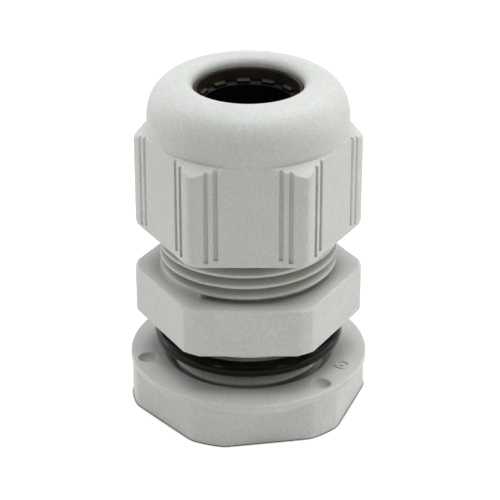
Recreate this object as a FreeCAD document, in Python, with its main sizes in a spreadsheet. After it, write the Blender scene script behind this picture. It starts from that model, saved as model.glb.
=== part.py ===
import FreeCAD, Part
import math
import os
import re
import Sketcher

# An M20 plastic cable gland, standing on its lock nut with its dome nut loosened, as it is supplied.
# Origin: centre of the lock nut's bottom face. +Z runs up the gland's axis, -Y is its front. Millimetres.

doc = FreeCAD.newDocument("CableGland")

# ---------------------------------------------------------------------------- driving dimensions

SIZES = {
    # screw threads: both nuts run on the same pitch
    "thread_pitch": 1.5,
    "thread_clearance": 0.08,
    "tightening_turns": 2.5,
    # sealing bush
    "bush_bore": 5.1,
    "bush_wall": 1.25,
    "bush_barrel_length": 8.65,
    "bush_flange_height": 0.92,
    "bush_collar_step": 0.35,
    "bush_lip_wall": 0.35,
    "bush_ledge_depth": 1.85,
    "bush_ledge_width": 0.6,
    "bush_ledge_step": 0.5,
    "bush_slot_count": 12,
    "bush_slot_width": 0.8,
    "bush_slot_depth": 0.42,
    "bush_slot_margin": 0.15,
    "bush_slot_turn": -5,
    "bush_edge_chamfer": 0.3,
    "bush_clearance": 0.16,
    "bush_recess": 1.05,
    # clamping fingers, moulded on the body's crown
    "finger_count": 12,
    "finger_length": 7.1,
    "finger_thickness": 1.35,
    "finger_flex": 12,
    "finger_slit": 0.9,
    "finger_tip_chamfer": 0.35,
    "finger_root_round": 0.45,
    "finger_hinge_gap": 0.17,
    "finger_tip_gap": 0.2,
    # gland body
    "body_bore_clearance": 0.65,
    "stem_wall": 2.87,
    "stem_length": 8.85,
    "stem_chamfer": 0.6,
    "stem_lift": 2.4,
    "collar_height": 0.75,
    "collar_setback": 1.0,
    "hex_height": 6.4,
    "hex_step": 1.67,
    "hex_corner_trim": 0.5,
    "hex_edge_chamfer": 0.3,
    "upper_thread_length": 10,
    "upper_thread_chamfer": 0.7,
    "crown_height": 0.33,
    "crown_step": 0.25,
    "crown_shoulder": 1.91,
    # dome nut
    "closed_gap": 2.02,
    "cone_clearance": 0.12,
    "nut_thread_end_gap": 0.15,
    "nut_wall": 1.18,
    "nut_corner_trim": 0.16,
    "nut_foot_chamfer": 0.5,
    "nut_mouth_chamfer": 0.5,
    "lip_height": 3.03,
    "lip_clearance": 0.15,
    "lip_round": 1.15,
    "dome_height": 6.45,
    "dome_bulge": 0.11,
    "dome_round": 4.6,
    "crease_depth": 0.33,
    "crease_height": 0.25,
    "shoulder_drop": 1.31,
    "groove_width": 0.48,
    "groove_depth": 0.42,
    "inner_groove_offset": 4.02,
    "inner_groove_rise": 1.01,
    "outer_groove_offset": 5.22,
    "outer_groove_rise": 0.53,
    # sealing ring, loose on the stem
    "ring_cord_radius": 1.0,
    "ring_clearance": 0.28,
    "ring_drop": 1.95,
    # lock nut
    "lock_nut_height": 6.26,
    "lock_nut_wall": 4.13,
    "lock_flange_overhang": 1.22,
    "lock_flange_height": 0.7,
    "lock_flange_round": 0.35,
    "lock_mouth_chamfer": 1.0,
    "lock_foot_chamfer": 0.6,
    "lock_nut_turn": 9.5,
    "dimple_radius": 1.3,
    "dimple_depth": 0.45,
    "dimple_inset": 1.95,
    "dimple_turn": 4,
}

HEX_SIDES = 6
DIMPLES = 3
FULL_TURN = 360
CUTS = ("PartDesign::Pocket", "PartDesign::PolarPattern", "PartDesign::SubtractiveSphere")

sheet = doc.addObject("Spreadsheet::Sheet", "Sizes")
for row, (alias, number) in enumerate(SIZES.items(), start=1):
    sheet.set(f"A{row}", alias)
    sheet.set(f"B{row}", str(number))
    sheet.setAlias(f"B{row}", alias)
doc.recompute()


def bound(formula):
    """The formula with each named size pointing at its cell in the sheet."""
    return re.sub(r"[a-z][a-z_]*", lambda word: _cell(word.group()), str(formula))


def _cell(word):
    return f"Sizes.{word}" if word in SIZES else word


def value(formula):
    """The number that the formula gives with the sheet's present sizes."""
    return float(sheet.evalExpression(bound(formula)))


# ------------------------------------------------- radii that follow, from the cable's hole outwards

TRAVEL = "(thread_pitch * tightening_turns)"
TIP_SWING = "(finger_length * sin(finger_flex) + finger_thickness / 2 * (1 - cos(finger_flex)))"
CONE_SLOPE = f"({TIP_SWING} / {TRAVEL})"

BUSH_RADIUS = "(bush_bore + bush_wall)"
BUSH_COLLAR_RADIUS = f"({BUSH_RADIUS} + bush_collar_step)"
NUT_HOLE = f"({BUSH_COLLAR_RADIUS} + lip_clearance)"
FINGER_INNER = f"({BUSH_RADIUS} + bush_clearance + {TIP_SWING})"
FINGER_OUTER = f"({FINGER_INNER} + finger_thickness)"
HINGE_RADIUS = f"({FINGER_INNER} + finger_thickness / 2)"
CROWN_RADIUS = f"({FINGER_OUTER} + crown_step)"
UPPER_THREAD = f"({FINGER_OUTER} + crown_shoulder)"
NUT_BORE = f"({UPPER_THREAD} + thread_clearance)"
NUT_FLATS = f"({NUT_BORE} + nut_wall)"
NUT_BARREL = f"({NUT_FLATS} / cos(180 / {HEX_SIDES}) - nut_corner_trim)"
DOME_RADIUS = f"({NUT_FLATS} + dome_bulge)"
HEX_FLATS = f"({UPPER_THREAD} + hex_step)"
HEX_BARREL = f"({HEX_FLATS} / cos(180 / {HEX_SIDES}) - hex_corner_trim)"
COLLAR_RADIUS = f"({HEX_FLATS} - collar_setback)"
BODY_BORE = f"({BUSH_RADIUS} + body_bore_clearance)"
STEM_RADIUS = f"({BODY_BORE} + stem_wall)"
RING_RADIUS = f"({STEM_RADIUS} + ring_clearance + ring_cord_radius)"
LOCK_BORE = f"({STEM_RADIUS} + thread_clearance)"
LOCK_FLATS = f"({LOCK_BORE} + lock_nut_wall)"
LOCK_FLANGE = f"({LOCK_FLATS} + lock_flange_overhang)"

# ------------------------------------------------------- heights that follow, from the floor upwards

COLLAR_BOTTOM = "(stem_lift + stem_length)"
HEX_BOTTOM = f"({COLLAR_BOTTOM} + collar_height)"
HEX_TOP = f"({HEX_BOTTOM} + hex_height)"
THREAD_TOP = f"({HEX_TOP} + upper_thread_length)"
CROWN_TOP = f"({THREAD_TOP} + crown_height)"
HINGE_HEIGHT = f"({CROWN_TOP} + finger_hinge_gap)"
TIP_HEIGHT = f"({HINGE_HEIGHT} + finger_length)"
RING_HEIGHT = f"({COLLAR_BOTTOM} - ring_drop)"

NUT_BOTTOM = f"({HEX_TOP} + closed_gap + {TRAVEL})"
NUT_THREAD_TOP = f"({THREAD_TOP} + {TRAVEL} + nut_thread_end_gap)"
BUSH_FLANGE_BOTTOM = f"({TIP_HEIGHT} + {TRAVEL} + finger_tip_gap)"
BUSH_FLANGE_TOP = f"({BUSH_FLANGE_BOTTOM} + bush_flange_height)"
NUT_CEILING = f"({BUSH_FLANGE_TOP} + lip_clearance)"
NUT_TOP = f"({NUT_CEILING} + lip_height)"
SHOULDER_TOP = f"({NUT_TOP} - dome_height)"
SHOULDER_BOTTOM = f"({SHOULDER_TOP} - shoulder_drop)"
BUSH_TOP = f"({NUT_TOP} - bush_recess)"
BUSH_LEDGE = f"({BUSH_TOP} - bush_ledge_depth)"
BUSH_BOTTOM = f"({BUSH_FLANGE_BOTTOM} - bush_barrel_length)"


def cone_radius(height):
    """Radius of the dome nut's inner cone at this height. Its slope keeps pace with the fingers' tips."""
    return f"({FINGER_OUTER} + cone_clearance + {CONE_SLOPE} * ({TIP_HEIGHT} - {height}))"


BUSH_FLANGE_RADIUS = f"({cone_radius(NUT_CEILING)} - lip_clearance)"

# --------------------------------------------------------------------------------- building blocks


def new_body(label):
    body = doc.addObject("PartDesign::Body", label)
    body.Label = label
    return body


def origin_feature(body, role):
    return next(feature for feature in body.Origin.OriginFeatures if feature.Role == role)


def new_sketch(body, name, role, lift="0"):
    """A sketch on one of the body's own origin planes, raised off it by the lift."""
    sketch = body.newObject("Sketcher::SketchObject", name)
    sketch.AttachmentSupport = [(origin_feature(body, role), "")]
    sketch.MapMode = "FlatFace"
    sketch.setExpression("AttachmentOffset.Base.z", bound(lift))
    return sketch


def fix_point(sketch, geometry, point, across, up):
    """Hold a point of the sketch at these two coordinates, each bound to its formula."""
    for kind, axis, formula in (("DistanceX", -2, across), ("DistanceY", -1, up)):
        distance = value(formula)
        if formula == "0":
            sketch.addConstraint(Sketcher.Constraint("PointOnObject", geometry, point, axis))
        elif distance > 0:
            index = sketch.addConstraint(Sketcher.Constraint(kind, -1, 1, geometry, point, distance))
            sketch.setExpression(f"Constraints[{index}]", bound(formula))
        else:
            index = sketch.addConstraint(Sketcher.Constraint(kind, geometry, point, -1, 1, -distance))
            sketch.setExpression(f"Constraints[{index}]", bound(f"-({formula})"))


def outline(sketch, corners):
    """A closed outline through corners of (across, up) or (across, up, rounding)."""
    spots = [FreeCAD.Vector(value(corner[0]), value(corner[1]), 0) for corner in corners]
    rounds = {}
    entries = list(spots)
    exits = list(spots)
    for index, corner in enumerate(corners):
        if len(corner) < 3:
            continue
        back = (spots[index - 1] - spots[index]).normalize()
        ahead = (spots[(index + 1) % len(spots)] - spots[index]).normalize()
        half = back.getAngle(ahead) / 2
        radius = value(corner[2])
        entries[index] = spots[index] + back * (radius / math.tan(half))
        exits[index] = spots[index] + ahead * (radius / math.tan(half))
        centre = spots[index] + (back + ahead).normalize() * (radius / math.sin(half))
        left_turn = ahead.cross(back).z > 0
        ends = (entries[index], exits[index]) if left_turn else (exits[index], entries[index])
        angles = [math.atan2(end.y - centre.y, end.x - centre.x) for end in ends]
        circle = Part.Circle(centre, FreeCAD.Vector(0, 0, 1), radius)
        arc = sketch.addGeometry(Part.ArcOfCircle(circle, *angles), False)
        rounds[index] = (arc, 1 if left_turn else 2, 2 if left_turn else 1)
    sides = []
    for index in range(len(spots)):
        side = Part.LineSegment(exits[index], entries[(index + 1) % len(spots)])
        sides.append(sketch.addGeometry(side, False))
    for index, corner in enumerate(corners):
        before = sides[index - 1]
        after = sides[index]
        if index not in rounds:
            sketch.addConstraint(Sketcher.Constraint("Coincident", before, 2, after, 1))
            fix_point(sketch, after, 1, corner[0], corner[1])
            continue
        arc, first, last = rounds[index]
        sketch.addConstraint(Sketcher.Constraint("Tangent", before, 2, arc, first))
        sketch.addConstraint(Sketcher.Constraint("Tangent", after, 1, arc, last))
        radius = sketch.addConstraint(Sketcher.Constraint("Radius", arc, value(corner[2])))
        sketch.setExpression(f"Constraints[{radius}]", bound(corner[2]))
        apex = sketch.addGeometry(Part.Point(spots[index]), True)
        sketch.addConstraint(Sketcher.Constraint("PointOnObject", apex, 1, before))
        sketch.addConstraint(Sketcher.Constraint("PointOnObject", apex, 1, after))
        fix_point(sketch, apex, 1, corner[0], corner[1])


def turned(body, name, corners, angle=str(FULL_TURN)):
    """Material turned about the body's axis from a profile of (radius, height) corners."""
    sketch = new_sketch(body, name + "_profile", "XZ_Plane")
    outline(sketch, corners)
    feature = body.newObject("PartDesign::Revolution", name)
    feature.Profile = sketch
    feature.ReferenceAxis = (sketch, ["V_Axis"])
    feature.Midplane = True
    feature.setExpression("Angle", bound(angle))
    return feature


def cut_upwards(body, name, bottom, height, draw):
    """A pocket that starts at this height and cuts upwards; draw puts its outline in the sketch."""
    sketch = new_sketch(body, name + "_outline", "XY_Plane", bottom)
    draw(sketch)
    feature = body.newObject("PartDesign::Pocket", name)
    feature.Profile = sketch
    feature.Reversed = True
    feature.setExpression("Length", bound(height))
    return feature


def repeated(body, name, features, count):
    """The features repeated all round the body's axis."""
    pattern = body.newObject("PartDesign::PolarPattern", name)
    pattern.Originals = features
    pattern.Axis = (origin_feature(body, "Z_Axis"), [""])
    pattern.Angle = FULL_TURN
    pattern.setExpression("Occurrences", bound(count))
    body.Tip = pattern
    return pattern


def hexagon(body, name, flats, barrel, bottom, height):
    """Six flats milled on a round barrel, the first one facing the front."""
    def slab(sketch):
        outline(sketch, [
            (f"-{barrel}", f"-{flats}"),
            (f"-{barrel}", f"-{barrel} - 1"),
            (barrel, f"-{barrel} - 1"),
            (barrel, f"-{flats}"),
        ])
    flat = cut_upwards(body, name + "_flat", bottom, height, slab)
    return repeated(body, name, [flat], HEX_SIDES)


# --------------------------------------------------------------------------------------- sub-parts


def gland_body():
    """Threaded stem, collar, hexagon, upper thread and the crown that carries the fingers."""
    body = new_body("gland_body")
    turned(body, "moulding", [
        (BODY_BORE, "stem_lift"),
        (f"{STEM_RADIUS} - stem_chamfer", "stem_lift"),
        (STEM_RADIUS, "stem_lift + stem_chamfer"),
        (STEM_RADIUS, COLLAR_BOTTOM),
        (COLLAR_RADIUS, COLLAR_BOTTOM),
        (COLLAR_RADIUS, HEX_BOTTOM),
        (f"{HEX_BARREL} - hex_edge_chamfer", HEX_BOTTOM),
        (HEX_BARREL, f"{HEX_BOTTOM} + hex_edge_chamfer"),
        (HEX_BARREL, f"{HEX_TOP} - hex_edge_chamfer"),
        (f"{HEX_BARREL} - hex_edge_chamfer", HEX_TOP),
        (UPPER_THREAD, HEX_TOP),
        (UPPER_THREAD, f"{THREAD_TOP} - upper_thread_chamfer"),
        (f"{UPPER_THREAD} - upper_thread_chamfer", THREAD_TOP),
        (CROWN_RADIUS, THREAD_TOP),
        (CROWN_RADIUS, CROWN_TOP),
        (FINGER_INNER, CROWN_TOP),
        (BODY_BORE, f"{CROWN_TOP} - ({FINGER_INNER} - {BODY_BORE})"),
    ])
    hexagon(body, "spanner_flats", HEX_FLATS, HEX_BARREL, HEX_BOTTOM, "hex_height")
    return body


def clamping_finger(number):
    """One of the ring of fingers that the dome nut bends inwards about its thin root."""
    body = new_body(f"clamping_finger_{number:02d}")
    slit_angle = f"finger_slit / {FINGER_INNER} * 180 / pi"
    turned(body, f"finger_{number:02d}", [
        (FINGER_INNER, HINGE_HEIGHT, "finger_root_round"),
        (FINGER_OUTER, HINGE_HEIGHT, "finger_root_round"),
        (FINGER_OUTER, f"{TIP_HEIGHT} - finger_tip_chamfer"),
        (f"{FINGER_OUTER} - finger_tip_chamfer", TIP_HEIGHT),
        (FINGER_INNER, TIP_HEIGHT),
    ], f"{FULL_TURN} / finger_count - {slit_angle}")
    bearing = FULL_TURN / value("finger_count") * (number - 1) - 90
    body.Placement = FreeCAD.Placement(
        FreeCAD.Vector(), FreeCAD.Rotation(FreeCAD.Vector(0, 0, 1), bearing))
    return body


def seal_bush():
    """Rubber bush round the cable: barrel between the fingers, flange under the dome nut's lip."""
    body = new_body("seal_bush")
    ledge_outer = f"({BUSH_COLLAR_RADIUS} - bush_lip_wall)"
    ledge_inner = f"({ledge_outer} - bush_ledge_width)"
    throat = f"({BUSH_LEDGE} - bush_ledge_step)"
    turned(body, "rubber", [
        ("bush_bore", BUSH_BOTTOM),
        (f"{BUSH_RADIUS} - bush_edge_chamfer", BUSH_BOTTOM),
        (BUSH_RADIUS, f"{BUSH_BOTTOM} + bush_edge_chamfer"),
        (BUSH_RADIUS, BUSH_FLANGE_BOTTOM),
        (BUSH_FLANGE_RADIUS, BUSH_FLANGE_BOTTOM),
        (BUSH_FLANGE_RADIUS, BUSH_FLANGE_TOP),
        (BUSH_COLLAR_RADIUS, BUSH_FLANGE_TOP),
        (BUSH_COLLAR_RADIUS, BUSH_TOP),
        (ledge_outer, BUSH_TOP),
        (ledge_outer, BUSH_LEDGE),
        (ledge_inner, BUSH_LEDGE),
        (ledge_inner, throat),
        ("bush_bore + bush_edge_chamfer", throat),
        ("bush_bore", f"{throat} - bush_edge_chamfer"),
    ])

    def slot(sketch):
        outline(sketch, [
            ("-bush_slot_width / 2", f"-{ledge_outer} + bush_slot_margin"),
            ("bush_slot_width / 2", f"-{ledge_outer} + bush_slot_margin"),
            ("bush_slot_width / 2", f"-{ledge_inner} + bush_slot_width / 2"),
            ("-bush_slot_width / 2", f"-{ledge_inner} + bush_slot_width / 2"),
        ])
    cut = cut_upwards(body, "ledge_slot", f"({BUSH_LEDGE} - bush_slot_depth)", "bush_ledge_depth", slot)
    repeated(body, "ledge_slots", [cut], "bush_slot_count")
    turn = value("bush_slot_turn")
    body.Placement = FreeCAD.Placement(
        FreeCAD.Vector(), FreeCAD.Rotation(FreeCAD.Vector(0, 0, 1), turn))
    return body


def dome_nut():
    """Cap nut: threaded bore, inner cone, lip round the cable, domed top and grooved hexagon."""
    body = new_body("dome_nut")
    cone_start = f"({NUT_THREAD_TOP} + nut_thread_end_gap)"
    turned(body, "moulding", [
        (f"{NUT_BORE} + nut_mouth_chamfer", NUT_BOTTOM),
        (f"{NUT_BARREL} - nut_foot_chamfer", NUT_BOTTOM),
        (NUT_BARREL, f"{NUT_BOTTOM} + nut_foot_chamfer"),
        (NUT_BARREL, SHOULDER_BOTTOM),
        (f"{DOME_RADIUS} - crease_depth", SHOULDER_TOP),
        (DOME_RADIUS, f"{SHOULDER_TOP} + crease_height"),
        (DOME_RADIUS, NUT_TOP, "dome_round"),
        (NUT_HOLE, NUT_TOP, "lip_round"),
        (NUT_HOLE, NUT_CEILING),
        (cone_radius(NUT_CEILING), NUT_CEILING),
        (cone_radius(cone_start), cone_start),
        (NUT_BORE, NUT_THREAD_TOP),
        (NUT_BORE, f"{NUT_BOTTOM} + nut_mouth_chamfer"),
    ])
    hexagon(body, "spanner_flats", NUT_FLATS, NUT_BARREL, NUT_BOTTOM, f"{SHOULDER_TOP} - {NUT_BOTTOM}")
    grooves = []
    for name in ("inner_groove", "outer_groove"):
        def pair(sketch):
            for side in ("", "-"):
                outline(sketch, [
                    (f"{side}{name}_offset - groove_width / 2", f"-{NUT_FLATS} - 1"),
                    (f"{side}{name}_offset + groove_width / 2", f"-{NUT_FLATS} - 1"),
                    (f"{side}{name}_offset + groove_width / 2", f"-{NUT_FLATS} + groove_depth"),
                    (f"{side}{name}_offset - groove_width / 2", f"-{NUT_FLATS} + groove_depth"),
                ])
        bottom = f"({NUT_BOTTOM} + {name}_rise)"
        grooves.append(cut_upwards(body, name, bottom, f"{SHOULDER_TOP} - {bottom}", pair))
    repeated(body, "grip_grooves", grooves, HEX_SIDES)
    return body


def sealing_ring():
    """O-ring, loose on the stem under the collar."""
    ring = doc.addObject("Part::Torus", "o_ring")
    ring.Label = "o_ring"
    ring.setExpression("Radius1", bound(RING_RADIUS))
    ring.setExpression("Radius2", bound("ring_cord_radius"))
    ring.setExpression("Placement.Base.z", bound(RING_HEIGHT))
    return ring


def lock_nut():
    """Flanged hexagon nut that clamps the panel, with three shallow dimples in its face."""
    body = new_body("lock_nut")
    turned(body, "barrel", [
        (f"{LOCK_BORE} + lock_foot_chamfer", "0"),
        (LOCK_FLANGE, "0"),
        (LOCK_FLANGE, "lock_nut_height", "lock_flange_round"),
        (f"{LOCK_BORE} + lock_mouth_chamfer", "lock_nut_height"),
        (LOCK_BORE, "lock_nut_height - lock_mouth_chamfer"),
        (LOCK_BORE, "lock_foot_chamfer"),
    ])
    flange_bottom = "(lock_nut_height - lock_flange_height)"
    hexagon(body, "spanner_flats", LOCK_FLATS, LOCK_FLANGE, "0", flange_bottom)
    turned(body, "flange_cone", [
        (f"{LOCK_FLATS} - lock_flange_overhang", flange_bottom),
        (f"{LOCK_FLATS} - lock_flange_overhang", f"{flange_bottom} - 2 * lock_flange_overhang"),
        (LOCK_FLANGE, flange_bottom),
    ])
    ball_radius = "((dimple_radius ^ 2 + dimple_depth ^ 2) / (2 * dimple_depth))"
    dimple = body.newObject("PartDesign::SubtractiveSphere", "dimple")
    dimple.AttachmentSupport = [(origin_feature(body, "XY_Plane"), "")]
    dimple.MapMode = "FlatFace"
    dimple.setExpression("Radius", bound(ball_radius))
    bearing = f"(180 / {HEX_SIDES} + dimple_turn)"
    reach = f"({LOCK_FLANGE} - dimple_inset)"
    dimple.setExpression("AttachmentOffset.Base.x", bound(f"{reach} * sin({bearing})"))
    dimple.setExpression("AttachmentOffset.Base.y", bound(f"-{reach} * cos({bearing})"))
    lift = f"lock_nut_height - dimple_depth + {ball_radius}"
    dimple.setExpression("AttachmentOffset.Base.z", bound(lift))
    repeated(body, "dimples", [dimple], DIMPLES)
    turn = value("lock_nut_turn")
    body.Placement = FreeCAD.Placement(
        FreeCAD.Vector(), FreeCAD.Rotation(FreeCAD.Vector(0, 0, 1), turn))
    return body


parts = [gland_body(), seal_bush(), dome_nut(), sealing_ring(), lock_nut()]
for finger_number in range(1, round(value("finger_count")) + 1):
    parts.append(clamping_finger(finger_number))

doc.recompute()

for item in doc.Objects:
    if "Invalid" in item.State or "Error" in item.State:
        raise RuntimeError(f"{item.Label} did not build: {item.State}")
    if item.TypeId in CUTS and item.Shape.Volume >= item.BaseFeature.Shape.Volume:
        raise RuntimeError(f"{item.Label} cut nothing away")
for part in parts:
    if part.Shape.isNull() or not part.Shape.isValid() or len(part.Shape.Solids) != 1:
        raise RuntimeError(f"{part.Label} is not one valid solid")

os.makedirs("parts", exist_ok=True)
for part in parts:
    part.Shape.exportStep(f"parts/{part.Label}.step")
    box = part.Shape.BoundBox
    print(f"{part.Label}: {part.Shape.Volume:.1f} mm3, z {box.ZMin:.2f} to {box.ZMax:.2f}")
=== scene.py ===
import math
import bpy
import numpy as np
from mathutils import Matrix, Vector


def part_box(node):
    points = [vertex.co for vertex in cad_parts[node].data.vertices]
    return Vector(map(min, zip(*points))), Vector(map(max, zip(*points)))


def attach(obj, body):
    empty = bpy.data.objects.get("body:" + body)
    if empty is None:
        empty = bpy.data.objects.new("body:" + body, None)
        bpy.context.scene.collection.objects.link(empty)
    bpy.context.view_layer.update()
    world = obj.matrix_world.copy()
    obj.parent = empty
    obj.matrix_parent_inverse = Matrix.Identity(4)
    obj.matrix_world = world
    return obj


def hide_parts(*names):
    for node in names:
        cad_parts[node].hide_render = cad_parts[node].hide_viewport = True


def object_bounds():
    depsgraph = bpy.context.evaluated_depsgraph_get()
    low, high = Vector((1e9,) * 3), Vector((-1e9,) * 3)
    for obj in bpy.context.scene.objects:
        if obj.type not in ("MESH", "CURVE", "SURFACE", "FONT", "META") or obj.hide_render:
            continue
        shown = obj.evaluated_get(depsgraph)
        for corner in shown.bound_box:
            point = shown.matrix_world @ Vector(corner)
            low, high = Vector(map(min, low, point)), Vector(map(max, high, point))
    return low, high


# A grey polyamide cable gland that stands on its lock nut. Lengths are in millimetres until a mesh is made.
# Bearings are in degrees round the gland's axis, from the front (-Y) towards the right (+X).

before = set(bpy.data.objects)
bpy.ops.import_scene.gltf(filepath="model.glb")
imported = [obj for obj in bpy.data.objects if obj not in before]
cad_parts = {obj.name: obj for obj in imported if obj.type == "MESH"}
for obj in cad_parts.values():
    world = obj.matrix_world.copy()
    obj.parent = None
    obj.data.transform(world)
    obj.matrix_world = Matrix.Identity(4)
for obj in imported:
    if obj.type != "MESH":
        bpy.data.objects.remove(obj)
cad_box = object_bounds()

MM = 0.001
SIDES = 6
SECTOR = 360 / SIDES
SHARP_EDGE = 32             # degrees between faces from which an edge isn't shaded smooth
ROUND_STEPS = 5             # rows in a rounded corner
ROUND_SHARE = 0.45          # most of a run that the rounding at one of its ends may take

# Both nuts run on the same pitch. A thread's section is in millimetres above and below its crest's middle.
PITCH = 1.5
UPPER_PHASE = 1.36          # height of an upper thread crest at the front, less whole pitches
STEM_PHASE = 0.15           # the same for the stem's thread
CREST_ABOVE, CREST_BELOW = 0.22, 0.2
FLANK_ABOVE, FLANK_BELOW = 0.5, 0.4
ROOT_BLEND, CREST_BLEND = 0.12, 0.24
RIDGE_START_BLEND = 2       # degrees over which the lowest groove deepens


def heights(node):
    """Lowest and highest point of a CAD node."""
    low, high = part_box(node)
    return low[2] / MM, high[2] / MM


STEM_BOTTOM, CROWN_TOP = heights("gland_body")
NUT_BOTTOM, NUT_TOP = heights("dome_nut")
BUSH_BOTTOM, BUSH_TOP = heights("seal_bush")
RING_BOTTOM, RING_TOP = heights("o_ring")
LOCK_BOTTOM, LOCK_TOP = heights("lock_nut")

# ------------------------------------------------------------------------------------- shape tools


def soft_min(a, b, blend):
    """The lesser of two values, with the corner between them rounded over the blend."""
    share = np.clip(0.5 + 0.5 * (b - a) / blend, 0, 1)
    return b * (1 - share) + a * share - blend * share * (1 - share)


def soft_step(low, high, value):
    """0 below low, 1 above high, smooth between."""
    share = np.clip((value - low) / (high - low), 0, 1)
    return share * share * (3 - 2 * share)


def off_flat(bearings, turn=0.0):
    """Angle from the middle of the nearest of six flats, one of which faces this turn."""
    return (bearings - turn + SECTOR / 2) % SECTOR - SECTOR / 2


def hexagon(bearings, flats, barrel, blend, turn=0.0):
    """Radius of a round barrel with six flats, all round."""
    return soft_min(barrel, flats / np.cos(np.radians(off_flat(bearings, turn))), blend)


def corner_spots(flats, barrel, turn=0.0):
    """Spots at both ends of each flat, where the round barrel begins."""
    edge = math.degrees(math.acos(flats / barrel))
    return [(SECTOR * side + turn + way * edge, 2.0, 0.4) for side in range(SIDES) for way in (-1, 1)]


def bearings_with(coarse, spots):
    """Bearings all round, close together at each spot of (middle, half width, step)."""
    angles = np.arange(0, 360, coarse)
    for middle, half, step in spots:
        distance = np.abs((angles - middle + 180) % 360 - 180)
        near = middle + np.arange(-round(half / step), round(half / step) + 1) * step
        angles = np.concatenate([angles[distance > half + step], near % 360])
    return np.unique(np.round(angles, 3))


def trace(points, count):
    """Rows of (radius, height) through points of (radius, height, rounding, spans).
    Radius and height may vary round the axis. Spans divides the run to the next point."""
    full = [tuple(point) + (0, 1)[len(point) - 2:] for point in points]
    spots = [np.array(np.broadcast_arrays(np.zeros(count), r, z)[1:], float) for r, z, _, _ in full]
    runs = [np.roll(spots, -1, axis=0)[i] - spots[i] for i in range(len(spots))]
    lengths = [np.maximum(np.hypot(*run), 1e-6) for run in runs]
    rows = []
    for i, (_, _, rounding, spans) in enumerate(full):
        back = np.minimum(rounding / lengths[i - 1], ROUND_SHARE) * runs[i - 1]
        ahead = np.minimum(rounding / lengths[i], ROUND_SHARE) * runs[i]
        entry, leave = spots[i] - back, spots[i] + ahead
        shares = np.linspace(0, 1, ROUND_STEPS) if rounding else [0.5]
        rows += [(1 - t) ** 2 * entry + 2 * t * (1 - t) * spots[i] + t * t * leave for t in shares]
        following = (i + 1) % len(full)
        end = spots[following] - np.minimum(full[following][2] / lengths[i], ROUND_SHARE) * runs[i]
        rows += [leave + (end - leave) * k / spans for k in range(1, spans)]
    return rows


def ring_mesh(name, rows, bearings, centre=(0, 0)):
    """A closed skin: each row of (radius, height) goes once round the axis."""
    radius, height = np.moveaxis(np.array(rows), 1, 0)
    angle = np.radians(bearings)
    x = centre[0] + radius * np.sin(angle)
    y = centre[1] - radius * np.cos(angle)
    points = np.stack([x, y, height], axis=-1).reshape(-1, 3) * MM
    index = np.arange(radius.size).reshape(radius.shape)
    beside = np.roll(index, -1, axis=1)
    corners = [index, beside, np.roll(beside, -1, axis=0), np.roll(index, -1, axis=0)]
    faces = np.stack(corners, axis=-1).reshape(-1, 4)
    mesh = bpy.data.meshes.new(name)
    mesh.from_pydata(points.tolist(), [], faces.tolist())
    mesh.shade_smooth()
    mesh.set_sharp_from_angle(angle=math.radians(SHARP_EDGE))
    piece = bpy.data.objects.new(name, mesh)
    bpy.context.collection.objects.link(piece)
    return piece


def level(radius, bearings, height):
    """One row of a skin at a single height."""
    return np.array([radius, np.full(bearings.shape, height)])


def thread(bearings, height, phase, crest, root, lowest=None):
    """Radius of a right-hand screw thread at these bearings and this height.
    With (bearing, height at the front) of its lowest ridge, the groove under that starts there."""
    turns = (height - phase) / PITCH - bearings / 360
    rise = ((turns + 0.5) % 1 - 0.5) * PITCH
    slope = np.maximum((rise - CREST_ABOVE) / FLANK_ABOVE, (-rise - CREST_BELOW) / FLANK_BELOW)
    depth = 1 - soft_min(1 - soft_min(slope, 1, ROOT_BLEND), 1, CREST_BLEND)
    if lowest is not None:
        start, lowest_height = lowest
        side = (bearings + 180) % 360 - 180
        above = (height - lowest_height) / PITCH - side / 360
        opening = soft_step(start - RIDGE_START_BLEND, start + RIDGE_START_BLEND, side)
        depth = np.where(above < -0.5, 1, depth)
        depth = np.where(above < 0, depth * opening, depth)
    return crest - (crest - root) * depth


# --------------------------------------------------------------------------------------- materials

WHITE = (1, 1, 1, 1)
PLASTIC_DARK, PLASTIC_LIGHT = (0.592, 0.596, 0.572, 1), (0.618, 0.620, 0.600, 1)
MOTTLE_TINT = (0.86, 0.86, 0.85, 1)
# Painted shade that the grey plastic gets in its own threads, grooves and corners.
PAINTED_SHADE_TINT = (0.62, 0.60, 0.53, 1)
PAINTED_SHADE_REACH = 2.5          # how near a piece's own walls bring painted shade onto it
FLECK_COLOUR = (0.36, 0.35, 0.31, 1)
RING_BLACK, RING_BLOOM = (0.004, 0.0025, 0.0015, 1), (0.008, 0.005, 0.003, 1)
BUSH_BLACK, BUSH_BLOOM = (0.018, 0.013, 0.008, 1), (0.028, 0.020, 0.012, 1)
# Painted shade deep down the bush's bore: the colour below this height, and how it fades in.
DEEP_SHADE_BLACK = (0.002, 0.002, 0.002, 1)
BUSH_SHADE_TOP, BUSH_SHADE_FADE = 41.0, 0.3
DUST_COLOUR = (0.12, 0.11, 0.10, 1)


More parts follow.
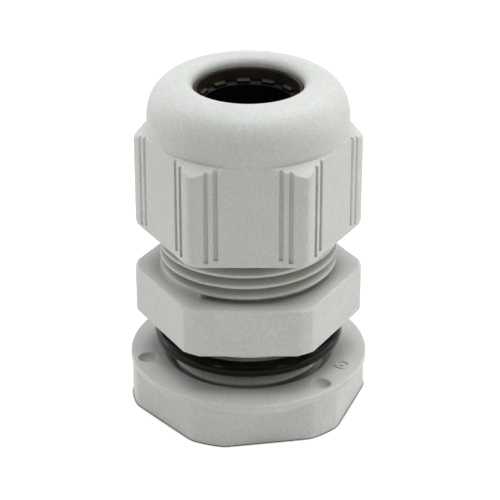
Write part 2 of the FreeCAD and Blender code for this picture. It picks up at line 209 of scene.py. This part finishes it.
class Nodes:
    """A node tree that is written one step to a line."""

    def __init__(self, tree):
        self.tree = tree
        tree.nodes.clear()

    def add(self, kind, inputs=(), **settings):
        node = self.tree.nodes.new(kind)
        for key, setting in settings.items():
            setattr(node, key, setting)
        for key, source in dict(inputs).items():
            if isinstance(source, bpy.types.NodeSocket):
                self.tree.links.new(source, node.inputs[key])
            else:
                node.inputs[key].default_value = source
        return node

    def noise(self, place, scale, detail=2.0):
        inputs = {"Vector": place, "Scale": scale, "Detail": detail}
        return self.add("ShaderNodeTexNoise", inputs).outputs["Fac"]

    def span(self, value, low, high, to_low, to_high):
        inputs = {"Value": value, "From Min": low, "From Max": high, "To Min": to_low, "To Max": to_high}
        return self.add("ShaderNodeMapRange", inputs).outputs["Result"]

    def mix(self, share, first, second, blend="MIX"):
        node = self.add("ShaderNodeMix", data_type="RGBA", blend_type=blend)
        for socket, source in zip((0, 6, 7), (share, first, second)):
            if isinstance(source, bpy.types.NodeSocket):
                self.tree.links.new(source, node.inputs[socket])
            else:
                node.inputs[socket].default_value = source
        return node.outputs[2]


def millimetres(nodes):
    """The piece's own coordinates, in millimetres."""
    place = nodes.add("ShaderNodeTexCoord").outputs["Object"]
    scaled = {"Vector": place, "Scale": (1 / MM, 1 / MM, 1 / MM)}
    return nodes.add("ShaderNodeMapping", scaled).outputs["Vector"]


def bumped(nodes, *layers):
    """A normal from layers of (height field, depth in millimetres)."""
    normal = None
    for field, depth in layers:
        inputs = {"Height": field, "Distance": depth * MM, "Strength": 1.0}
        if normal is not None:
            inputs["Normal"] = normal
        normal = nodes.add("ShaderNodeBump", inputs).outputs["Normal"]
    return normal


def polyamide():
    """Light grey moulded nylon: faint clouds and flecks in the colour, a fine spark-eroded skin, and painted
    shade that darkens and warms it in its own creases and hollows.
    """
    material = bpy.data.materials.new("grey_polyamide")
    material.use_nodes = True
    nodes = Nodes(material.node_tree)
    place = millimetres(nodes)
    clouds = nodes.span(nodes.noise(place, 0.22, 3.0), 0.3, 0.7, 0.0, 1.0)
    colour = nodes.mix(clouds, PLASTIC_DARK, PLASTIC_LIGHT)
    mottle = nodes.span(nodes.noise(place, 3.2, 2.0), 0.3, 0.7, 0.0, 1.0)
    colour = nodes.mix(1.0, colour, nodes.mix(mottle, MOTTLE_TINT, WHITE), "MULTIPLY")
    # Painted shade: the colour is darkened and warmed where the piece's own walls are near, as shade falls in
    # its threads, grooves and corners.
    local = {"samples": 8, "only_local": True}
    open_sky = nodes.add("ShaderNodeAmbientOcclusion", {"Distance": PAINTED_SHADE_REACH * MM}, **local).outputs["AO"]
    painted_shade = nodes.mix(nodes.span(open_sky, 0.2, 0.8, 0.0, 1.0), PAINTED_SHADE_TINT, WHITE)
    colour = nodes.mix(1.0, colour, painted_shade, "MULTIPLY")
    flecks = nodes.span(nodes.noise(place, 4.5, 1.0), 0.70, 0.78, 0.0, 0.35)
    colour = nodes.mix(flecks, colour, FLECK_COLOUR)
    grain = nodes.noise(place, 5.0, 3.0)
    waves = nodes.noise(place, 0.5, 1.0)
    shine = nodes.span(nodes.noise(place, 1.3, 2.0), 0.3, 0.7, 0.44, 0.54)
    shader = nodes.add("ShaderNodeBsdfPrincipled", {
        "Base Color": colour,
        "Roughness": shine,
        "Normal": bumped(nodes, (waves, 0.02), (grain, 0.016)),
        "IOR": 1.5,
    })
    nodes.add("ShaderNodeOutputMaterial", {"Surface": shader.outputs["BSDF"]})
    return material


def rubber(name, dark, bloomed, roughness, gloss, shade_top=None):
    """Black moulded rubber with a little bloom and dust on it. Below the given height, if there is one, it is
    painted almost black instead, as painted shade deep down the bore.
    The roughness varies between the two numbers given."""
    material = bpy.data.materials.new(name)
    material.use_nodes = True
    nodes = Nodes(material.node_tree)
    place = millimetres(nodes)
    bloom = nodes.span(nodes.noise(place, 0.4, 3.0), 0.35, 0.7, 0.0, 1.0)
    colour = nodes.mix(bloom, dark, bloomed)
    dust = nodes.span(nodes.noise(place, 5.0, 1.0), 0.72, 0.80, 0.0, 0.2)
    colour = nodes.mix(dust, colour, DUST_COLOUR)
    # Painted shade: below the given height the rubber is painted almost black, as shade deep down the bore.
    if shade_top is not None:
        height = nodes.add("ShaderNodeSeparateXYZ", {"Vector": place}).outputs["Z"]
        above_shade = nodes.span(height, shade_top, shade_top + BUSH_SHADE_FADE, 0.0, 1.0)
        colour = nodes.mix(above_shade, DEEP_SHADE_BLACK, colour)
    grain = nodes.noise(place, 6.0, 2.0)
    shine = nodes.span(nodes.noise(place, 0.9, 2.0), 0.3, 0.7, *roughness)
    shader = nodes.add("ShaderNodeBsdfPrincipled", {
        "Base Color": colour,
        "Roughness": shine,
        "Normal": bumped(nodes, (grain, 0.004)),
        "IOR": 1.5,
        "Specular IOR Level": gloss,
    })
    nodes.add("ShaderNodeOutputMaterial", {"Surface": shader.outputs["BSDF"]})
    return material


PLASTIC = polyamide()
RING_RUBBER = rubber("ring_rubber", RING_BLACK, RING_BLOOM, (0.10, 0.15), 0.10)
BUSH_RUBBER = rubber("bush_rubber", BUSH_BLACK, BUSH_BLOOM, (0.3, 0.4), 0.17, BUSH_SHADE_TOP)


def finish_piece(piece, material, slot, body, *nodes):
    """Give a piece its material, and let it ride on its body in place of its CAD nodes. The slot argument is
    not used.
    """
    piece.data.materials.append(material)
    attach(piece, body)
    if nodes:
        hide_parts(*nodes)


# ------------------------------------------------------------------------------------- gland body

HEX_FLATS, HEX_BARREL = 12.931, 14.43
HEX_BOTTOM, HEX_TOP = 12.0, 18.4
HEX_LEAST_TRIM, HEX_CORNER_TRIM = 0.16, 0.3
COLLAR_BOTTOM, COLLAR_RADIUS = 11.25, 11.93
BODY_BORE, STEM_CREST, STEM_ROOT = 7.0, 9.87, 8.8
STEM_CHAMFER, STEM_RUN_OUT, STEM_THREAD_TOP = 0.6, (9.9, 10.3), 10.35
THREAD_CREST, THREAD_ROOT, THREAD_TOP, THREAD_CHAMFER = 11.26, 10.14, 28.4, 0.7
CROWN_RADIUS, FINGER_INNER = 9.6, 8.001
LOWEST_RIDGE = (-30, 19.36)


def stem_rows(bearings):
    """Lower thread, from the chamfered foot of the stem to the bare neck under the collar."""
    rows = []
    for height in np.arange(STEM_BOTTOM + 0.1, STEM_THREAD_TOP, 0.1):
        radius = thread(bearings, height, STEM_PHASE, STEM_CREST, STEM_ROOT)
        radius = np.minimum(radius, STEM_CREST - STEM_CHAMFER + (height - STEM_BOTTOM))
        radius = STEM_ROOT + (radius - STEM_ROOT) * (1 - soft_step(*STEM_RUN_OUT, height))
        rows.append(level(radius, bearings, height))
    return rows


def upper_thread_rows(bearings):
    """Upper thread, which starts at the front left and ends in a chamfer under the crown."""
    rows = []
    for height in np.arange(HEX_TOP + 0.3, THREAD_TOP - 0.02, 0.06):
        radius = thread(bearings, height, UPPER_PHASE, THREAD_CREST, THREAD_ROOT, LOWEST_RIDGE)
        radius = np.minimum(radius, THREAD_CREST - THREAD_CHAMFER + (THREAD_TOP - height))
        rows.append(level(radius, bearings, height))
    return rows


def build_gland_body():
    """The body: stem, collar, hexagon, upper thread and the crown that carries the fingers."""
    bearings = bearings_with(2.0, corner_spots(HEX_FLATS, HEX_BARREL))
    count = bearings.size
    wall = hexagon(bearings, HEX_FLATS, HEX_BARREL, 0.16)
    foot = thread(bearings, HEX_TOP, UPPER_PHASE, THREAD_CREST, THREAD_ROOT, LOWEST_RIDGE)
    trim = np.maximum(HEX_LEAST_TRIM, wall - (HEX_BARREL - HEX_CORNER_TRIM))
    rows = stem_rows(bearings)
    rows += trace([
        (STEM_ROOT, 10.45),
        (STEM_ROOT, COLLAR_BOTTOM, 0.1),
        (COLLAR_RADIUS, COLLAR_BOTTOM, 0.15),
        (COLLAR_RADIUS, HEX_BOTTOM, 0.1),
        (wall - trim, HEX_BOTTOM, 0.09),
        (wall, HEX_BOTTOM + trim, 0.09),
        (wall, HEX_TOP - trim, 0.09),
        (wall - trim, HEX_TOP, 0.09),
        (foot, HEX_TOP, 0.1),
        (foot, HEX_TOP + 0.28),
    ], count)
    rows += upper_thread_rows(bearings)
    rows += trace([
        (CROWN_RADIUS, THREAD_TOP),
        (CROWN_RADIUS, CROWN_TOP, 0.1),
        (FINGER_INNER, CROWN_TOP, 0.1),
        (BODY_BORE, CROWN_TOP - (FINGER_INNER - BODY_BORE), 0.2),
        (BODY_BORE, STEM_BOTTOM, 0.15),
        (STEM_CREST - 0.9, STEM_BOTTOM),
    ], count)
    moulding = ring_mesh("body_moulding", rows, bearings)
    finish_piece(moulding, PLASTIC, "grey_polyamide", "gland_body", "gland_body")


# --------------------------------------------------------------------------------------- dome nut

NUT_FLATS, NUT_BARREL = 12.52, 14.3
FOOT_RADIUS, FOOT_LEAST_TRIM = 13.8, 0.2
SHOULDER_BOTTOM, SHOULDER_TOP, NECK_RADIUS = 36.29, 37.56, 12.52
GROOVE_DEPTH, GROOVE_WIDTH, GROOVE_WALL = 0.33, 0.47, 0.24
INNER_GROOVE, OUTER_GROOVE = 4.02, 5.22             # distance from the flat's middle line
INNER_GROOVE_FOOT, OUTER_GROOVE_FOOT = (25.14, 25.22), (24.8, 24.86)
DOME_MIDDLE, DOME_REACH = 7.0, 5.63                 # radii of its rounding's middle and of the rounding
DOME_DROP, DOME_RISE, DOME_POWER = 5.22, 5.3, 2.46  # the last one squares the rounding up
NUT_HOLE, LIP_REACH, LIP_DROP = 6.9, 1.5, 1.2
NUT_CEILING, CEILING_RADIUS = 41.02, 7.475
CONE_BOTTOM, CONE_RADIUS = 32.45, 10.88
NUT_BORE, NUT_CREST, BORE_TOP = 11.341, 10.3, 32.3
NUT_MOUTH, NUT_THREAD_FADE = 0.5, (2.9, 1.5)        # the fade is measured down from the bore's top


def groove(bearings, offset):
    """Depth of a pair of upright grooves in each flat, this far from its middle line."""
    across = np.abs(NUT_FLATS * np.tan(np.radians(off_flat(bearings))))
    edge = (GROOVE_WIDTH - GROOVE_WALL) / 2
    return GROOVE_DEPTH * (1 - soft_step(edge, edge + GROOVE_WALL, np.abs(across - offset)))


def dome_points():
    """The domed top, from its widest height up and inwards to the lip of the hole."""
    points = []
    for t in np.linspace(0, math.radians(76.5), 30):
        across = math.cos(t) ** (2 / DOME_POWER)
        up = math.sin(t) ** (2 / DOME_POWER)
        points.append((DOME_MIDDLE + DOME_REACH * across, NUT_TOP - DOME_DROP + DOME_RISE * up))
    for t in np.linspace(math.radians(94), math.radians(180), 14):
        points.append((NUT_HOLE + LIP_REACH * (1 + math.cos(t)), NUT_TOP - LIP_DROP * (1 - math.sin(t))))
    return points


def nut_thread_rows(bearings):
    """Inner thread, which ends below the spread fingers, down to the chamfered mouth."""
    rows = []
    low, high = (BORE_TOP - drop for drop in NUT_THREAD_FADE)
    for height in np.arange(BORE_TOP - 0.1, NUT_BOTTOM + 0.05, -0.1):
        radius = thread(bearings, height, UPPER_PHASE, NUT_BORE, NUT_CREST)
        radius = np.maximum(radius, NUT_BORE + NUT_MOUTH - (height - NUT_BOTTOM))
        radius = radius + (NUT_BORE - radius) * soft_step(low, high, height)
        rows.append(level(radius, bearings, height))
    return rows


def build_dome_nut():
    """The domed nut, with paired grooves that fade into its shoulder."""
    spots = []
    for side in range(SIDES):
        for way in (-1, 1):
            spots.append((SECTOR * side + way * SECTOR / 2, 3.2, 0.4))
            for offset in (INNER_GROOVE, OUTER_GROOVE):
                middle = math.degrees(math.atan(offset / NUT_FLATS))
                spots.append((SECTOR * side + way * middle, 1.5, 0.25))
    bearings = bearings_with(1.5, spots)
    count = bearings.size
    wall = hexagon(bearings, NUT_FLATS, NUT_BARREL, 0.3)
    outer_cut = groove(bearings, OUTER_GROOVE)
    cut = outer_cut + groove(bearings, INNER_GROOVE)
    trim = np.maximum(FOOT_LEAST_TRIM, wall - FOOT_RADIUS)
    slope = (SHOULDER_TOP - SHOULDER_BOTTOM) / (NUT_BARREL - NECK_RADIUS)
    shoulder = SHOULDER_BOTTOM + (NUT_BARREL - (wall - cut)) * slope
    rows = trace([
        (NUT_BORE + NUT_MOUTH, NUT_BOTTOM, 0.08),
        (wall - trim, NUT_BOTTOM, 0.1),
        (wall, NUT_BOTTOM + trim, 0.1),
        (wall, OUTER_GROOVE_FOOT[0]),
        (wall - outer_cut, OUTER_GROOVE_FOOT[1]),
        (wall - outer_cut, INNER_GROOVE_FOOT[0]),
        (wall - cut, INNER_GROOVE_FOOT[1]),
        (wall - cut, shoulder, 0.16),
        (NECK_RADIUS, SHOULDER_TOP + 0.01, 0.08),
        (NECK_RADIUS + 0.09, SHOULDER_TOP + 0.3, 0.1),
        *dome_points(),
        (NUT_HOLE, NUT_CEILING),
        (CEILING_RADIUS, NUT_CEILING),
        (CONE_RADIUS, CONE_BOTTOM),
        (NUT_BORE, BORE_TOP),
    ], count)
    rows += nut_thread_rows(bearings)
    moulding = ring_mesh("dome_moulding", rows, bearings)
    finish_piece(moulding, PLASTIC, "grey_polyamide", "dome_nut", "dome_nut")


# --------------------------------------------------------------------------------------- lock nut

LOCK_FLATS, LOCK_BARREL, LOCK_TURN = 14.07, 15.14, 9.9
FLANGE_RADIUS, FLANGE_HEIGHT = 15.3, 0.7
FACE_OUTER, FACE_INNER = 14.9, 11.2                 # the flat part of the flange's face
LOCK_BORE, LOCK_CREST = 9.95, 9.06
LOCK_MOUTH, LOCK_FOOT = 0.95, 0.6                   # chamfers of the bore
DIMPLES, DIMPLE_TURN = 3, 43.5
DIMPLE_REACH, DIMPLE_RADIUS, DIMPLE_DEPTH = 13.35, 1.25, 1.0
MARK_BEARING, MARK_REACH, MARK_RISE, MARK_SINK = 67, 13.1, 0.15, 0.1
MARK_FORMS = {"mould_ring": (0.7, 0.97), "mould_dot": (0.03, 0.3)}


def dimples(bearings, radius):
    """Depth of three shallow round dimples in the flange's face."""
    ball = (DIMPLE_RADIUS ** 2 + DIMPLE_DEPTH ** 2) / (2 * DIMPLE_DEPTH)
    sector = 360 / DIMPLES
    turn = np.radians((bearings - DIMPLE_TURN + sector / 2) % sector - sector / 2)
    gap = radius ** 2 + DIMPLE_REACH ** 2 - 2 * radius * DIMPLE_REACH * np.cos(turn)
    return np.maximum(np.sqrt(np.maximum(ball ** 2 - gap, 0)) - ball + DIMPLE_DEPTH, 0)


def lock_face_rows(bearings):
    """The flange's face, from just inside its rim to its mouth."""
    rows = []
    for radius in [14.85, 14.75, *np.arange(14.66, 12.0, -0.12), 11.9, FACE_INNER]:
        rows.append(np.array([np.full(bearings.shape, radius), LOCK_TOP - dimples(bearings, radius)]))
    return rows


def lock_thread_rows(bearings):
    """Inner thread of the lock nut, from its mouth down."""
    rows = []
    for height in np.arange(LOCK_TOP - 0.9, LOCK_BOTTOM + 0.1, -0.11):
        radius = thread(bearings, height, STEM_PHASE, LOCK_BORE, LOCK_CREST)
        radius = np.maximum(radius, LOCK_BORE + LOCK_MOUTH - (LOCK_TOP - height))
        radius = np.maximum(radius, LOCK_BORE + LOCK_FOOT - (height - LOCK_BOTTOM))
        rows.append(level(radius, bearings, height))
    return rows


def build_lock_nut():
    """The flanged lock nut, with dimples in its face."""
    spots = corner_spots(LOCK_FLATS, LOCK_BARREL, LOCK_TURN)
    spots += [(DIMPLE_TURN + 360 / DIMPLES * k, 6.6, 0.4) for k in range(DIMPLES)]
    bearings = bearings_with(1.2, spots)
    count = bearings.size
    wall = hexagon(bearings, LOCK_FLATS, LOCK_BARREL, 0.22, LOCK_TURN)
    flange = LOCK_TOP - FLANGE_HEIGHT
    rows = trace([
        (LOCK_BORE + LOCK_FOOT, LOCK_BOTTOM, 0.08),
        (wall - 0.3, LOCK_BOTTOM, 0.05),
        (wall, LOCK_BOTTOM + 0.08, 0.03),
        (wall, flange - (FLANGE_RADIUS - wall), 0.15),
        (FLANGE_RADIUS, flange, 0.1),
        (FLANGE_RADIUS, LOCK_TOP, 0.28),
        (FACE_OUTER, LOCK_TOP),
    ], count)
    rows += lock_face_rows(bearings)
    rows += trace([
        (FACE_INNER, LOCK_TOP),
        (LOCK_BORE + 1.0, LOCK_TOP, 0.12),
        (LOCK_BORE + 0.15, LOCK_TOP - 0.85),
    ], count)[1:-1]
    rows += lock_thread_rows(bearings)
    moulding = ring_mesh("lock_nut_moulding", rows, bearings)
    finish_piece(moulding, PLASTIC, "grey_polyamide", "lock_nut", "lock_nut")


def build_mould_mark():
    """A plain raised ring and dot on the flange's face, such as any mould may leave."""
    turn = math.radians(MARK_BEARING)
    centre = (MARK_REACH * math.sin(turn), -MARK_REACH * math.cos(turn))
    bearings = np.arange(0, 360, 7.5)
    for name, (inner, outer) in MARK_FORMS.items():
        rows = trace([
            (inner, LOCK_TOP - MARK_SINK),
            (outer, LOCK_TOP - MARK_SINK),
            (outer, LOCK_TOP + MARK_RISE, 0.04),
            (inner, LOCK_TOP + MARK_RISE, 0.04),
        ], bearings.size)
        finish_piece(ring_mesh(name, rows, bearings, centre), PLASTIC, "grey_polyamide", "lock_nut")


# ------------------------------------------------------------------------------------ rubber parts

BUSH_BORE, BUSH_RADIUS, BUSH_COLLAR, BUSH_FLANGE = 5.1, 6.35, 6.78, 7.3
FLANGE_BOTTOM, FLANGE_TOP = 39.95, 40.87
LEDGE_TOP, LEDGE_BOTTOM, LEDGE_OUTER, LEDGE_INNER = 41.35, 40.95, 6.35, 5.85
SLOTS, SLOT_TURN, SLOT_HALF, SLOT_DEPTH, SLOT_BLEND = 12, -9, 7.0, 0.38, 0.6
THROAT_TOP, THROAT_DROP, THROAT_LENGTH = LEDGE_BOTTOM - 0.15, 3.5, 6.0
RING_DROP = 0.12            # how far the ring has slipped down the stem
RING_MIDDLE = 11.15         # radius of the ring at the middle of its cord
FLASH_HEIGHT, FLASH_WIDTH = 0.02, 0.06              # the width is the sine of its angle round the cord


def build_seal_bush():
    """The bush that grips the cable, with a slotted ledge inside its collar."""
    pitch = 360 / SLOTS
    spots = [(pitch * k + SLOT_TURN + way * SLOT_HALF, 1.5, 0.5) for k in range(SLOTS) for way in (-1, 1)]
    bearings = bearings_with(3.0, spots)
    off_slot = np.abs((bearings - SLOT_TURN + pitch / 2) % pitch - pitch / 2)
    gap = SLOT_DEPTH * (1 - soft_step(SLOT_HALF - SLOT_BLEND, SLOT_HALF + SLOT_BLEND, off_slot))
    rows = trace([
        (BUSH_BORE, BUSH_BOTTOM, 0.1),
        (BUSH_RADIUS - 0.3, BUSH_BOTTOM, 0.1),
        (BUSH_RADIUS, BUSH_BOTTOM + 0.3, 0.1),
        (BUSH_RADIUS, FLANGE_BOTTOM, 0.1),
        (BUSH_FLANGE, FLANGE_BOTTOM, 0.1),
        (BUSH_FLANGE, FLANGE_TOP, 0.1),
        (BUSH_COLLAR, FLANGE_TOP, 0.1),
        (BUSH_COLLAR, BUSH_TOP - 0.3, 0.1),
        (LEDGE_OUTER + 0.2, BUSH_TOP - 0.15, 0.1),
        (LEDGE_OUTER, BUSH_TOP - 0.4, 0.1),
        (LEDGE_OUTER - 0.08, LEDGE_TOP + 0.15, 0.1),
        (LEDGE_OUTER - 0.1, LEDGE_TOP - gap, 0.08),
        (LEDGE_INNER, LEDGE_TOP - 0.14 - gap, 0.08),
        (LEDGE_INNER - 0.04, THROAT_TOP, 0.03),
        (LEDGE_INNER - 0.14, THROAT_TOP, 0.03),
        (LEDGE_INNER - 0.24, LEDGE_BOTTOM - THROAT_DROP, 0.5),
        (BUSH_BORE, LEDGE_BOTTOM - THROAT_LENGTH, 0.5),
    ], bearings.size)
    moulding = ring_mesh("bush_moulding", rows, bearings)
    finish_piece(moulding, BUSH_RUBBER, "black_rubber", "seal_bush", "seal_bush")


def build_o_ring():
    """The sealing ring, with the fine flash line of its mould inside and outside."""
    cord = (RING_TOP - RING_BOTTOM) / 2
    middle = (RING_TOP + RING_BOTTOM) / 2 - RING_DROP
    bearings = np.arange(0, 360, 1.5)
    rows = []
    for turn in np.radians(np.arange(0, 360, 5)) + math.pi:
        flash = FLASH_HEIGHT * math.exp(-(math.sin(turn) / FLASH_WIDTH) ** 2)
        rim = cord - FLASH_HEIGHT + flash
        radius = np.full(bearings.shape, RING_MIDDLE + rim * math.cos(turn))
        rows.append(level(radius, bearings, middle + cord * math.sin(turn)))
    ring = ring_mesh("sealing_ring", rows, bearings)
    finish_piece(ring, RING_RUBBER, "black_rubber", "o_ring", "o_ring")


build_gland_body()
build_dome_nut()
build_lock_nut()
build_mould_mark()
build_seal_bush()
build_o_ring()

# The fingers keep their CAD meshes: the nut hides them.
for node_name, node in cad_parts.items():
    if node_name.startswith("clamping_finger"):
        node.data.materials.clear()
        node.data.materials.append(PLASTIC)

# ------------------------------------------------------------------------------ floor, light, camera

FLOOR_REACH = 1.5           # metres from the gland to each edge
# The second colour is a painted shadow, used next to the gland's foot.
FLOOR_PAINT, PAINTED_CONTACT_SHADOW = (0.93, 0.905, 0.885, 1), (0.08, 0.08, 0.08, 1)
PAINTED_SHADOW_REACH = 0.6         # how near the gland the floor shows its painted shadow, a thin dark contact line
FLOOR_GLOW, FLOOR_GLOW_SHARE = 1.35, 0.62
AMBIENT = 0.02
LAMP_DISTANCE = 0.5         # metres
COOL, BLUISH = (0.965, 1, 0.995), (0.975, 0.985, 1)
LENS, SENSOR = 153.69, 36
CAMERA_PLACE = (0.0002, -0.24199, 0.14591)
CAMERA_TILT = 62.561        # degrees up from straight down


def seen_directly(nodes, behind=False):
    """1 for a ray from the camera, off a gloss or through glass, else 0.
    With behind, a gloss finds the room dim in front of the gland and white behind it."""
    path = nodes.add("ShaderNodeLightPath")
    through = {0: path.outputs["Is Glossy Ray"], 1: path.outputs["Is Transmission Ray"]}
    share = nodes.add("ShaderNodeMath", through, operation="MAXIMUM").outputs[0]
    if behind:
        heading = nodes.add("ShaderNodeTexCoord").outputs["Generated"]
        north = nodes.add("ShaderNodeSeparateXYZ", {0: heading}).outputs["Y"]
        fade = {0: share, 1: nodes.span(north, -0.3, 0.4, 0.15, 1.0)}
        share = nodes.add("ShaderNodeMath", fade, operation="MULTIPLY").outputs[0]
    both = {0: share, 1: path.outputs["Is Camera Ray"]}
    return nodes.add("ShaderNodeMath", both, operation="MAXIMUM").outputs[0]


def build_floor():
    """A white floor that keeps the gland's shadow, and also has a painted shadow: a thin dark line painted
    where the gland stands.
    """
    mesh = bpy.data.meshes.new("floor")
    corners = [(x * FLOOR_REACH, y * FLOOR_REACH, 0) for x, y in ((-1, -1), (1, -1), (1, 1), (-1, 1))]
    mesh.from_pydata(corners, [], [(0, 1, 2, 3)])
    floor = bpy.data.objects.new("floor", mesh)
    bpy.context.collection.objects.link(floor)
    material = bpy.data.materials.new("white_floor")
    material.use_nodes = True
    nodes = Nodes(material.node_tree)
    seen = seen_directly(nodes)
    # Painted shadow: near the gland, camera rays see the floor's colour darkened and its glow taken away.
    near = nodes.add("ShaderNodeAmbientOcclusion", {"Distance": PAINTED_SHADOW_REACH * MM}, samples=8).outputs["AO"]
    painted_shadow = nodes.span(near, 0.5, 0.8, 1.0, 0.0)
    painted_shadow = nodes.add("ShaderNodeMath", {0: seen, 1: painted_shadow}, operation="MULTIPLY").outputs[0]
    colour = nodes.mix(painted_shadow, FLOOR_PAINT, PAINTED_CONTACT_SHADOW)
    paint = nodes.add("ShaderNodeBsdfDiffuse", {"Color": colour}).outputs[0]
    glow = nodes.add("ShaderNodeEmission", {"Color": WHITE, "Strength": FLOOR_GLOW}).outputs[0]
    share = nodes.add("ShaderNodeMath", {0: seen, 1: painted_shadow}, operation="SUBTRACT").outputs[0]
    share = nodes.span(share, 0.0, 1.0, 0.0, FLOOR_GLOW_SHARE)
    both = nodes.add("ShaderNodeMixShader", {0: share, 1: paint, 2: glow}).outputs[0]
    nodes.add("ShaderNodeOutputMaterial", {"Surface": both})
    mesh.materials.append(material)


def build_world():
    """Dim for the light on the gland, white where the camera or a gloss sees it."""
    world = bpy.data.worlds.new("studio")
    bpy.context.scene.world = world
    world.use_nodes = True
    nodes = Nodes(world.node_tree)
    ambient = nodes.add("ShaderNodeBackground", {"Color": WHITE, "Strength": AMBIENT}).outputs[0]
    white = nodes.add("ShaderNodeBackground", {"Color": WHITE, "Strength": 1.0}).outputs[0]
    share = seen_directly(nodes, behind=True)
    both = nodes.add("ShaderNodeMixShader", {0: share, 1: ambient, 2: white}).outputs[0]
    nodes.add("ShaderNodeOutputWorld", {"Surface": both})


def soft_box(name, bearing, rise, size, power, colour=(1, 1, 1), distance=LAMP_DISTANCE):
    """A rectangular lamp of (width, height) in metres that faces the gland from this bearing and rise."""
    lamp = bpy.data.lights.new(name, "AREA")
    lamp.color = colour
    lamp.shape = "RECTANGLE"
    lamp.size, lamp.size_y = size
    lamp.energy = power
    holder = bpy.data.objects.new(name, lamp)
    bpy.context.collection.objects.link(holder)
    turn, tilt = math.radians(bearing), math.radians(rise)
    middle = (cad_box[0][2] + cad_box[1][2]) / 2
    holder.location = (distance * math.cos(tilt) * math.sin(turn),
                       -distance * math.cos(tilt) * math.cos(turn),
                       middle + distance * math.sin(tilt))
    holder.rotation_euler = (math.pi / 2 - tilt, 0, turn)


def build_camera():
    """The photograph's view, from the front and above."""
    camera = bpy.data.cameras.new("camera")
    camera.sensor_width = SENSOR
    camera.lens = LENS
    camera.clip_start = 0.01
    camera.clip_end = 10
    holder = bpy.data.objects.new("camera", camera)
    bpy.context.collection.objects.link(holder)
    holder.location = CAMERA_PLACE
    holder.rotation_euler = (math.radians(CAMERA_TILT), 0, 0)
    bpy.context.scene.camera = holder


build_floor()
build_world()
soft_box("overhead_box", 0, 90, (0.35, 0.35), 1.80, COOL)
soft_box("overhead_sheet", 0, 90, (0.8, 0.8), 1.45, COOL)
soft_box("back_right_box", 120, 50, (0.35, 0.35), 0.9, BLUISH)
soft_box("back_left_box", -125, 18, (0.35, 0.35), 0.55, BLUISH)
soft_box("low_right_strip", 90, 5, (0.5, 0.09), 0.54, BLUISH, distance=0.45)
soft_box("low_left_strip", -90, 5, (0.5, 0.09), 0.34, BLUISH, distance=0.45)
soft_box("left_spark", -38, 30, (0.05, 0.05), 0.13)
soft_box("right_spark", 41, 24, (0.08, 0.05), 0.13)
build_camera()
bpy.context.scene.view_settings.view_transform = "Standard"
